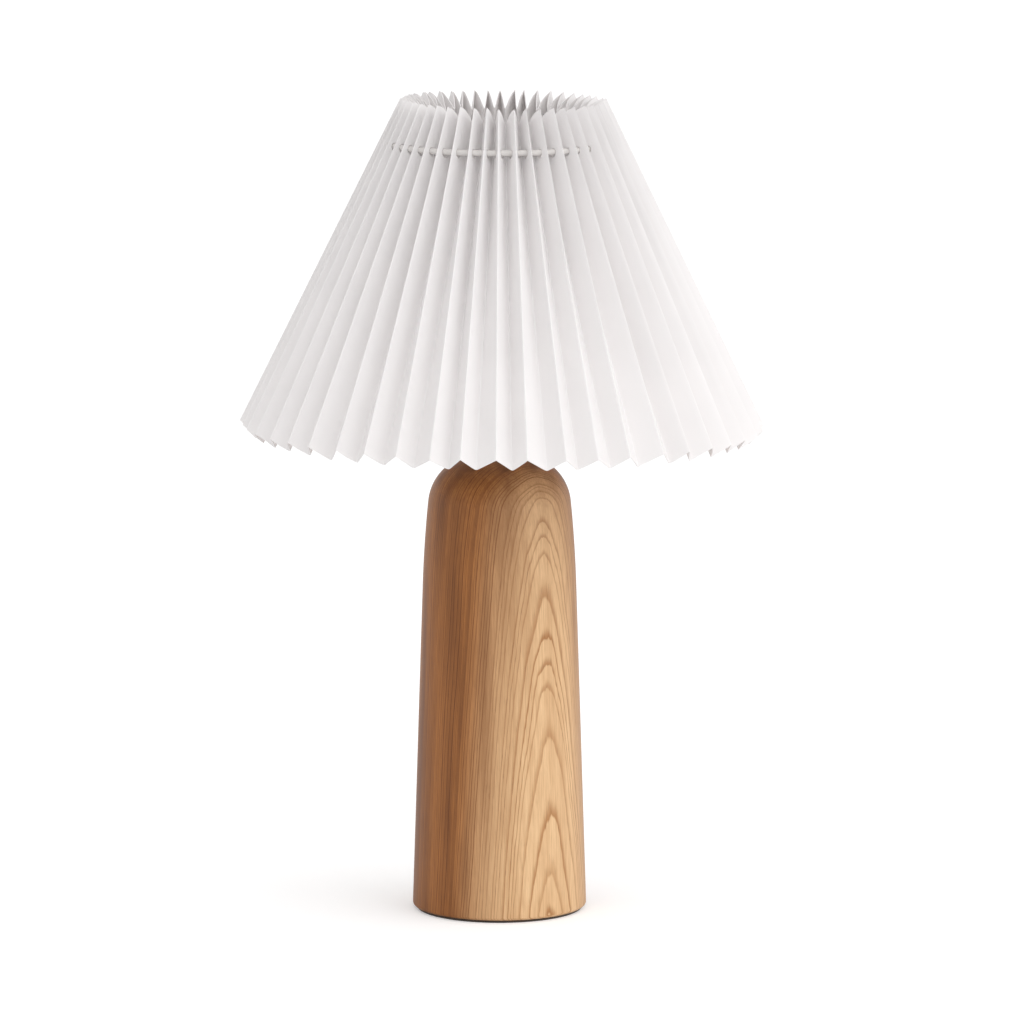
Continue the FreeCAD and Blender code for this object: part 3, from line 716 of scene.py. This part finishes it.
# ---- Clamp ring ----
# A moulded ring screwed down on the lampholder's thread to hold the carrier's hub, with upright
# finger grips round its outside.
clamp_low, clamp_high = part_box("clamp_ring")
clamp_bore = 20.3 * MM
clamp_radius = 25.3 * MM
grip_count = 24
grip_radius = 1 * MM
clamp_edge = 0.5 * MM
clamp_outline = [(clamp_bore, clamp_low[2]), (clamp_radius - clamp_edge, clamp_low[2])]
clamp_outline += upright(clamp_radius, clamp_low[2] + clamp_edge, clamp_high[2] - clamp_edge, 3)
clamp_outline += [(clamp_radius - clamp_edge, clamp_high[2]), (clamp_bore, clamp_high[2])]
grip_ring = turn("grip_ring", clamp_outline, grip_count * 14, 40)
for vertex in grip_ring.data.vertices:
    reach = math.hypot(vertex.co.x, vertex.co.y)
    if reach < clamp_radius - 2 * clamp_edge:
        continue
    share = (math.degrees(math.atan2(vertex.co.y, vertex.co.x)) * grip_count / 360 + 0.5) % 1 - 0.5
    off = share * 2 * math.pi / grip_count * clamp_radius
    if abs(off) < grip_radius:
        narrowed = (reach - 0.75 * math.sqrt(grip_radius ** 2 - off ** 2)) / reach
        vertex.co.x *= narrowed
        vertex.co.y *= narrowed
finish_piece(grip_ring, white_plastic, "clamp", "white_plastic", "clamp_ring")


# ---- Pleated paper shade ----
# One long strip of white paper, its upper edge cut in shallow scallops and punched under them,
# scored and folded into forty-eight pleats, drawn in over the wire ring at the top and free to
# fan out at the bottom.
pleat_count = 48
fold_count = 2 * pleat_count
shade_low, shade_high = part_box("paper_shade")
crest_top = (59 * MM, shade_high[2])
crest_bottom = (shade_high[0], shade_low[2] + 7 * MM)
valley_top = (48 * MM, shade_high[2] - 10.5 * MM)
valley_bottom = (shade_high[0] - 8 * MM, shade_low[2])
paper_thickness = 0.4 * MM
punch_radius = 2.4 * MM
panel_width = 15 * MM
fold_length = 207 * MM
scallop_rise = 1.8 * MM
scallop_reach = 14 * MM
shade_droop = math.radians(0.65)        # the shade sits a little low on the lamp's right
sag_right_top = 2.2 * MM                # and its folds stand further out on that side
sag_right_bottom = 3.4 * MM
crest_softness = 0.06                   # half-width of the rounded fold, as a share of a panel
panel_columns = (0.0, 0.03, 0.06, 0.28, 0.375, 0.47, 0.565, 0.66, 0.86, 0.94)
punch_columns = (3, 7)                  # columns that frame a punched hole
punch_span = (0.27, 0.73)               # a hole's centre stays this far from both folds
strip_rows = (                          # millimetres down from the strip's upper edge
    0, 4, 9, 15.5, 18.6, 20.6, 22.6, 24.6, 26.6, 33, 45, 62, 82, 104, 128, 152, 174, 192, 207)
punch_rows = (4, 8)
stray_top, stray_bottom = 0.55, 0.35    # degrees that a fold's ends stray sideways
stray_out = 0.4                         # millimetres that they stray in and out, and down
dice = random.Random(11)


def near_an_arm(fold):
    """The folds beside the carrier's arms stay true, so that the arms keep their room."""
    pleats_from_arm = (fold / 2 - pleat_count / 4) % (pleat_count / 3)
    return min(pleats_from_arm, pleat_count / 3 - pleats_from_arm) < 1


def fold_ends(fold):
    """Upper and lower end of one fold, each a little off its even place."""
    top, bottom = (crest_top, crest_bottom) if fold % 2 == 0 else (valley_top, valley_bottom)
    calm = 0.25 if near_an_arm(fold) else 1.0
    ends = []
    for (radius, height), stray, sag in (
            (top, stray_top, sag_right_top), (bottom, stray_bottom, sag_right_bottom)):
        angle = math.radians(360 * fold / fold_count + dice.gauss(0, stray) * calm)
        away = radius + dice.gauss(0, stray_out) * MM * calm + sag * math.cos(angle)
        drop = abs(dice.gauss(0, stray_out)) * MM
        ends.append(Vector((away * math.cos(angle), away * math.sin(angle), height - drop)))
    return ends


folds = [fold_ends(fold) for fold in range(fold_count)]
bows = [dice.uniform(-0.5, 0.8) * MM for _ in range(fold_count)]
droop = Matrix.Translation((0, 0, ring_height)) @ Matrix.Rotation(shade_droop, 4, "Y")
droop = droop @ Matrix.Translation((0, 0, -ring_height))


def valley_softness(fold):
    """The inner folds are rounder on the lamp's left than on its right."""
    return 0.09 + 0.05 * max(0, -math.cos(2 * math.pi * fold / fold_count))


def on_fold(fold, down):
    top, bottom = folds[fold % fold_count]
    return top.lerp(bottom, down)


def on_panel(panel, across, down):
    """A point of one panel, which bows a little between its two folds."""
    first = on_fold(panel, down)
    second = on_fold(panel + 1, down)
    point = first.lerp(second, across)
    out = Vector((point.x, point.y, 0)).normalized()
    bow = bows[panel % fold_count] * 4 * across * (1 - across) * (0.3 + down)
    return point + out * bow


def folded(strip_place, down):
    """Where a point of the flat strip lies once the strip is folded."""
    panel = math.floor(strip_place)
    nearest = round(strip_place)
    softness = crest_softness if nearest % 2 == 0 else valley_softness(nearest)
    off = strip_place - nearest
    if abs(off) < softness:
        before = on_panel(nearest - 1, 1 - softness, down)
        after = on_panel(nearest, softness, down)
        t = (off + softness) / (2 * softness)
        point = before * (1 - t) ** 2 + on_fold(nearest, down) * 2 * t * (1 - t) + after * t ** 2
    else:
        point = on_panel(panel, strip_place - panel, down)
    return droop @ point


def ring_section(panel, across, down):
    point = droop @ on_panel(panel, across, down)
    return Vector((math.hypot(point.x, point.y), point.z))


def punched_place(panel):
    """The hole's place on a panel, found by walking towards the wire ring."""
    across, down = 0.46, 0.11
    target = Vector((ring_radius, ring_height - (punch_radius - ring_wire_radius) * 0.85))
    step = 0.001
    for _ in range(6):
        here = ring_section(panel, across, down)
        right = (ring_section(panel, across + step, down) - here) / step
        below = (ring_section(panel, across, down + step) - here) / step
        miss = target - here
        area = right.x * below.y - right.y * below.x
        across += (miss.x * below.y - miss.y * below.x) / area
        down += (right.x * miss.y - right.y * miss.x) / area
    return min(max(across, punch_span[0]), punch_span[1]), down


def lay_out_strip(mesh, holes):
    """Lays a grid out on the flat strip: x counts panels and y runs down from the upper edge."""
    columns = len(panel_columns)
    all_columns = fold_count * columns
    last_row = len(strip_rows) - 1
    middle = (panel_columns[punch_columns[0]] + panel_columns[punch_columns[1]]) / 2
    middle_row = strip_rows[(punch_rows[0] + punch_rows[1]) // 2] * MM
    for vertex in mesh.vertices:
        column = round((vertex.co.x + 0.5) * all_columns)
        row = round((0.5 - vertex.co.y) * last_row)
        panel, part = divmod(column, columns)
        x = panel_columns[part]
        y = strip_rows[row] * MM
        scallop = scallop_rise * 4 * x * (1 - x) * max(0, 1 - y / scallop_reach) ** 1.5
        across, down = holes[panel % fold_count]
        if punch_columns[0] <= part <= punch_columns[1]:
            x += across - middle
            if punch_rows[0] <= row <= punch_rows[1]:
                y += down * fold_length - middle_row
        elif part == punch_columns[1] + 1:
            frame_edge = panel_columns[punch_columns[1]] + across - middle
            x = (frame_edge + panel_columns[-1]) / 2
        vertex.co = (panel + x, (y - scallop) / fold_length, 0)
        inner_column = punch_columns[0] < part < punch_columns[1]
        vertex.select = inner_column and punch_rows[0] < row < punch_rows[1]


def select_hole_edges(mesh):
    """Selects the open edges round the holes and leaves out the strip's own outline."""
    bpy.ops.object.mode_set(mode="EDIT")
    bpy.ops.mesh.select_all(action="DESELECT")
    bpy.ops.mesh.select_non_manifold(extend=False)
    bpy.ops.object.mode_set(mode="OBJECT")
    inside = [0.01 < v.co.x < fold_count - 0.01 and 0.03 < v.co.y < 0.5 for v in mesh.vertices]
    rim = [e.select and inside[e.vertices[0]] and inside[e.vertices[1]] for e in mesh.edges]
    for vertex in mesh.vertices:
        vertex.select = False
    for edge, kept in zip(mesh.edges, rim):
        edge.select = kept
        if kept:
            for i in edge.vertices:
                mesh.vertices[i].select = True


def paper_strip():
    bpy.ops.object.select_all(action="DESELECT")
    bpy.ops.mesh.primitive_grid_add(
        x_subdivisions=fold_count * len(panel_columns), y_subdivisions=len(strip_rows) - 1, size=1)
    strip = bpy.context.object
    strip.name = "pleated_paper"
    mesh = strip.data
    holes = [punched_place(panel) for panel in range(fold_count)]
    for part in (*mesh.polygons, *mesh.edges):
        part.select = False
    lay_out_strip(mesh, holes)
    take(strip)
    bpy.ops.object.mode_set(mode="EDIT")
    bpy.ops.mesh.select_mode(type="VERT")
    bpy.ops.mesh.delete(type="VERT")
    bpy.ops.object.mode_set(mode="OBJECT")
    select_hole_edges(mesh)
    bpy.ops.object.mode_set(mode="EDIT")
    bpy.ops.mesh.select_mode(type="EDGE")
    bpy.ops.mesh.extrude_edges_move()
    bpy.ops.object.mode_set(mode="OBJECT")
    for vertex in mesh.vertices:
        if vertex.select:
            panel = math.floor(vertex.co.x)
            across, down = holes[panel % fold_count]
            right = (vertex.co.x - panel - across) * panel_width
            below = (vertex.co.y - down) * fold_length
            shrink = punch_radius / math.hypot(right, below)
            vertex.co.x = panel + across + right * shrink / panel_width
            vertex.co.y = down + below * shrink / fold_length
    flat = mesh.uv_layers.new(name="flat_strip")
    for loop in mesh.loops:
        place = mesh.vertices[loop.vertex_index].co
        flat.data[loop.index].uv = (place.x, place.y)
    for vertex in mesh.vertices:
        vertex.co = folded(vertex.co.x, vertex.co.y)
    bpy.ops.object.mode_set(mode="EDIT")
    bpy.ops.mesh.select_all(action="SELECT")
    bpy.ops.mesh.remove_doubles(threshold=0.00002)
    bpy.ops.mesh.normals_make_consistent(inside=False)
    bpy.ops.object.mode_set(mode="OBJECT")
    face = mesh.polygons[0]
    if face.normal.x * face.center.x + face.normal.y * face.center.y < 0:
        bpy.ops.object.mode_set(mode="EDIT")
        bpy.ops.mesh.flip_normals()
        bpy.ops.object.mode_set(mode="OBJECT")
    thicken = strip.modifiers.new("paper_thickness", "SOLIDIFY")
    thicken.thickness = paper_thickness
    thicken.offset = -1
    thicken.use_even_offset = True
    bpy.ops.object.modifier_apply(modifier=thicken.name)
    bpy.ops.object.shade_smooth_by_angle(angle=math.radians(40))
    return strip


def paper_material():
    tree = Tree("white_paper")
    sheet = tree.node("UVMap", uv_map="flat_strip").outputs["UV"]
    place = tree.object_place()
    fleck = tree.noise(place, 900, 4, 0.65)
    cloud = tree.noise(place, 35, 3)
    strip_place = tree.node("SeparateXYZ", {0: sheet}).outputs["X"]
    nearest = tree.math("ROUND", strip_place)
    off_fold = tree.math("ABSOLUTE", tree.math("SUBTRACT", strip_place, nearest))
    crease = tree.span(off_fold, 0.0, 0.03, 1.0, 0.0, smooth=True)
    colour = tree.blend(tree.span(cloud, 0.3, 0.7), srgb(249, 247, 247), srgb(252, 250, 250))
    colour = tree.blend(tree.math("MULTIPLY", crease, 0.5), colour, srgb(254, 254, 254))
    height = tree.math("MULTIPLY_ADD", crease, 0.6, fleck)
    shader = tree.node("BsdfPrincipled", {
        "Base Color": colour,
        "Roughness": tree.span(fleck, 0.3, 0.7, 0.6, 0.75),
        "Specular IOR Level": 0.3,
        "Normal": tree.bump(height, 0.08, 0.0001)})
    through = tree.node("BsdfTranslucent", {"Color": srgb(251, 247, 245)})
    both = tree.node("MixShader", {0: 0.22, 1: shader.outputs["BSDF"], 2: through.outputs["BSDF"]})
    return tree.output(both.outputs[0])


finish_piece(paper_strip(), paper_material(), "shade", "paper", "paper_shade")


# ---- Shade ring ----
# A ring of coated wire threaded through the punched pleats, its butted ends joined at the rear in
# a short steel ferrule that is crimped in the middle.
ferrule_turn = 93.75                    # degrees, in the valley beside the rear pleat
ferrule_length = 2.6 * MM
ferrule_bore = ring_wire_radius + 0.1 * MM
ferrule_radius = ferrule_bore + 0.7 * MM
ring_steps = 200
ring_points = [around_axis(ferrule_turn + 0.1 + 359.8 * i / ring_steps, ring_radius, ring_height)
               for i in range(ring_steps + 1)]
shade_ring = wire("shade_ring", ring_points, ring_wire_radius)
finish_piece(shade_ring, white_coating, "shade", "white_wire", "ring_wire")

half_length = ferrule_length / 2
ferrule_outline = [(ferrule_bore, -half_length), (ferrule_radius - 0.15 * MM, -half_length)]
ferrule_outline += [(ferrule_radius, -half_length + 0.15 * MM), (ferrule_radius, -0.6 * MM)]
ferrule_outline += [(ferrule_radius - 0.3 * MM, -0.3 * MM), (ferrule_radius - 0.3 * MM, 0.3 * MM)]
ferrule_outline += [(ferrule_radius, 0.6 * MM), (ferrule_radius, half_length - 0.15 * MM)]
ferrule_outline += [(ferrule_radius - 0.15 * MM, half_length), (ferrule_bore, half_length)]
ferrule_place = Matrix.Rotation(math.radians(ferrule_turn), 4, "Z")
ferrule_place = ferrule_place @ Matrix.Translation((ring_radius, 0, ring_height))
ferrule_place = ferrule_place @ Matrix.Rotation(-math.pi / 2, 4, "X")
crimped_ferrule = turn("crimped_ferrule", ferrule_outline, 40, 40, place=ferrule_place)
finish_piece(crimped_ferrule, zinc_plated, "shade", "steel", "ring_ferrule")


# ---- Bulb ----
# A round screw bulb of opal glass, cemented into a rolled metal cap whose thread matches the
# lampholder's, with a black glass insulator, a soldered tip, and inside it the glass stem that
# carries four filament rods.
globe_radius = 30 * MM
globe_centre = (0, 381.4 * MM)
bulb_neck = 12.5 * MM
flare_radius = 40 * MM
glass_wall = 0.8 * MM
glass_foot = 318.5 * MM
cap_radius = 13.2 * MM
cap_inside = 12.7 * MM
cap_foot = 310 * MM
cap_top = 332.5 * MM
cap_side_low, cap_side_high = cap_foot + 1.5 * MM, cap_top - 3 * MM
cap_thread_depth = 0.45 * MM


def glass_curve(inset, steps):
    """Neck, flare and globe of the glass, moved inwards by an inset, from the foot to the top."""
    globe = globe_radius - inset
    flare = flare_radius + inset
    neck = bulb_neck - inset
    drop = math.sqrt((globe + flare) ** 2 - (neck + flare) ** 2)
    flare_centre = (neck + flare, globe_centre[1] - drop)
    lean = math.atan2(drop, neck + flare)
    curve = upright(neck, glass_foot, flare_centre[1], 4)
    curve += arc_points(flare_centre, flare, math.pi, math.pi - lean, steps // 3)
    curve += arc_points(globe_centre, globe, -lean, math.pi / 2, steps)
    return curve


opal_glass = smooth_finish(
    "opal_glass", (srgb(246, 244, 238), srgb(250, 249, 245)), (0.08, 0.14), 60, 0.03,
    Coat_Weight=0.5, Coat_Roughness=0.04, Subsurface_Weight=0.3, Subsurface_Scale=0.002,
    Subsurface_Radius=(1, 1, 1))
glass_outline = glass_curve(0, 30) + glass_curve(glass_wall, 30)[::-1]
opal_globe = turn("opal_globe", [(max(0, r), z) for r, z in glass_outline], 96, 50)
finish_piece(opal_globe, opal_glass, "bulb", "opal_glass", "bulb_glass")

plated_cap = smooth_finish(
    "nickel_plated_cap", (srgb(206, 203, 196), srgb(222, 219, 212)), (0.18, 0.32), 300, 0.12,
    Metallic=1.0)
cap_outline = [(11.2 * MM, cap_foot), (11.7 * MM, cap_foot), (13.0 * MM, cap_foot + 1.3 * MM)]
cap_outline += upright(cap_radius, cap_side_low, cap_side_high, 72)
cap_outline += [(cap_radius, cap_top - 0.2 * MM), (13.0 * MM, cap_top), (cap_inside, cap_top)]
cap_outline += upright(cap_inside, cap_side_low, cap_side_high, 4)[::-1]
rolled_cap = turn("rolled_cap", cap_outline, 72, 40)
cut_thread(rolled_cap, cap_radius, cap_foot + 1.6 * MM, cap_side_high,
           cap_thread_depth, shell_thread_pitch, 1.6 * MM)
finish_piece(rolled_cap, plated_cap, "bulb", "cap_metal", "bulb_cap")

finish_node("cap_insulator", smooth_finish(
    "black_cap_glass", (srgb(24, 24, 28), srgb(38, 38, 42)), (0.1, 0.2), 200, 0.08, Coat_Weight=0.5,
    Coat_Roughness=0.05))
finish_node("cap_contact", smooth_finish(
    "soldered_tip", (srgb(150, 150, 148), srgb(186, 184, 180)), (0.3, 0.55), 700, 0.4,
    Metallic=1.0))
finish_node("bulb_stem", smooth_finish(
    "clear_glass_stem", (srgb(240, 244, 242), srgb(248, 250, 250)), (0.03, 0.08), 120, 0.03,
    Transmission_Weight=0.9, IOR=1.5))
finish_node("filaments", smooth_finish(
    "filament_phosphor", (srgb(236, 196, 96), srgb(244, 210, 120)), (0.5, 0.7), 900, 0.2,
    Subsurface_Weight=0.2, Subsurface_Scale=0.001))
finish_node("filament_leads", plated_cap)


# ---- Floor and light ----
# A plain white floor that keeps a faint shadow, a white surround that is brightest in front, and
# soft light mainly from the right.
floor_white = 0.85
floor_lift = 0.30
surround_level = 0.80                   # its light sideways on to its brightest direction
surround_spread = 0.30                  # how much more it gives from there, and less from behind
surround_bright = Vector((0.30, -0.60, 0.74)).normalized()
key_power = 20
key_size = 3.0


def floor_material():
    tree = Tree("white_floor")
    seen = tree.node("LightPath").outputs["Is Camera Ray"]
    diffuse = tree.node("BsdfDiffuse", {"Color": (floor_white, floor_white, floor_white, 1)})
    lift = tree.math("MULTIPLY", seen, floor_lift)
    glow = tree.node("Emission", {"Color": (1, 1, 1, 1), "Strength": lift})
    both = tree.node("AddShader", {0: diffuse.outputs[0], 1: glow.outputs[0]})
    return tree.output(both.outputs[0])


def white_surround():
    """White to the camera and in reflections; the light it gives depends on the direction."""
    tree = Tree("white_surround", "worlds")
    rays = tree.node("LightPath").outputs
    mirrored = tree.math("MAXIMUM", rays["Is Glossy Ray"], rays["Is Transmission Ray"])
    seen = tree.math("MAXIMUM", rays["Is Camera Ray"], mirrored)
    direction = tree.node("TexCoord").outputs["Generated"]
    facing = tree.vector("DOT_PRODUCT", direction, surround_bright)
    least, most = surround_level - surround_spread, surround_level + surround_spread
    given = tree.span(facing, -1.0, 1.0, least, most)
    level = tree.span(seen, 0.0, 1.0, given, 1.0)
    background = tree.node("Background", {"Color": (1, 1, 1, 1), "Strength": level})
    tree.node("OutputWorld", {"Surface": background.outputs[0]})
    bpy.context.scene.world = tree.owner


def softbox(name, place, aim, size, power):
    bpy.ops.object.light_add(type="AREA", location=place)
    lamp = bpy.context.object
    lamp.name = name
    lamp.data.size = size
    lamp.data.energy = power
    lamp.rotation_euler = (Vector(aim) - Vector(place)).to_track_quat("-Z", "Y").to_euler()


bpy.ops.object.select_all(action="DESELECT")
bpy.ops.mesh.primitive_plane_add(size=24, location=(0, 0, 0))
floor = bpy.context.object
floor.name = "floor"
floor.data.materials.append(floor_material())
white_surround()
softbox("key_right", (2.0, -1.3, 1.3), (0, 0, 0.3), key_size, key_power)
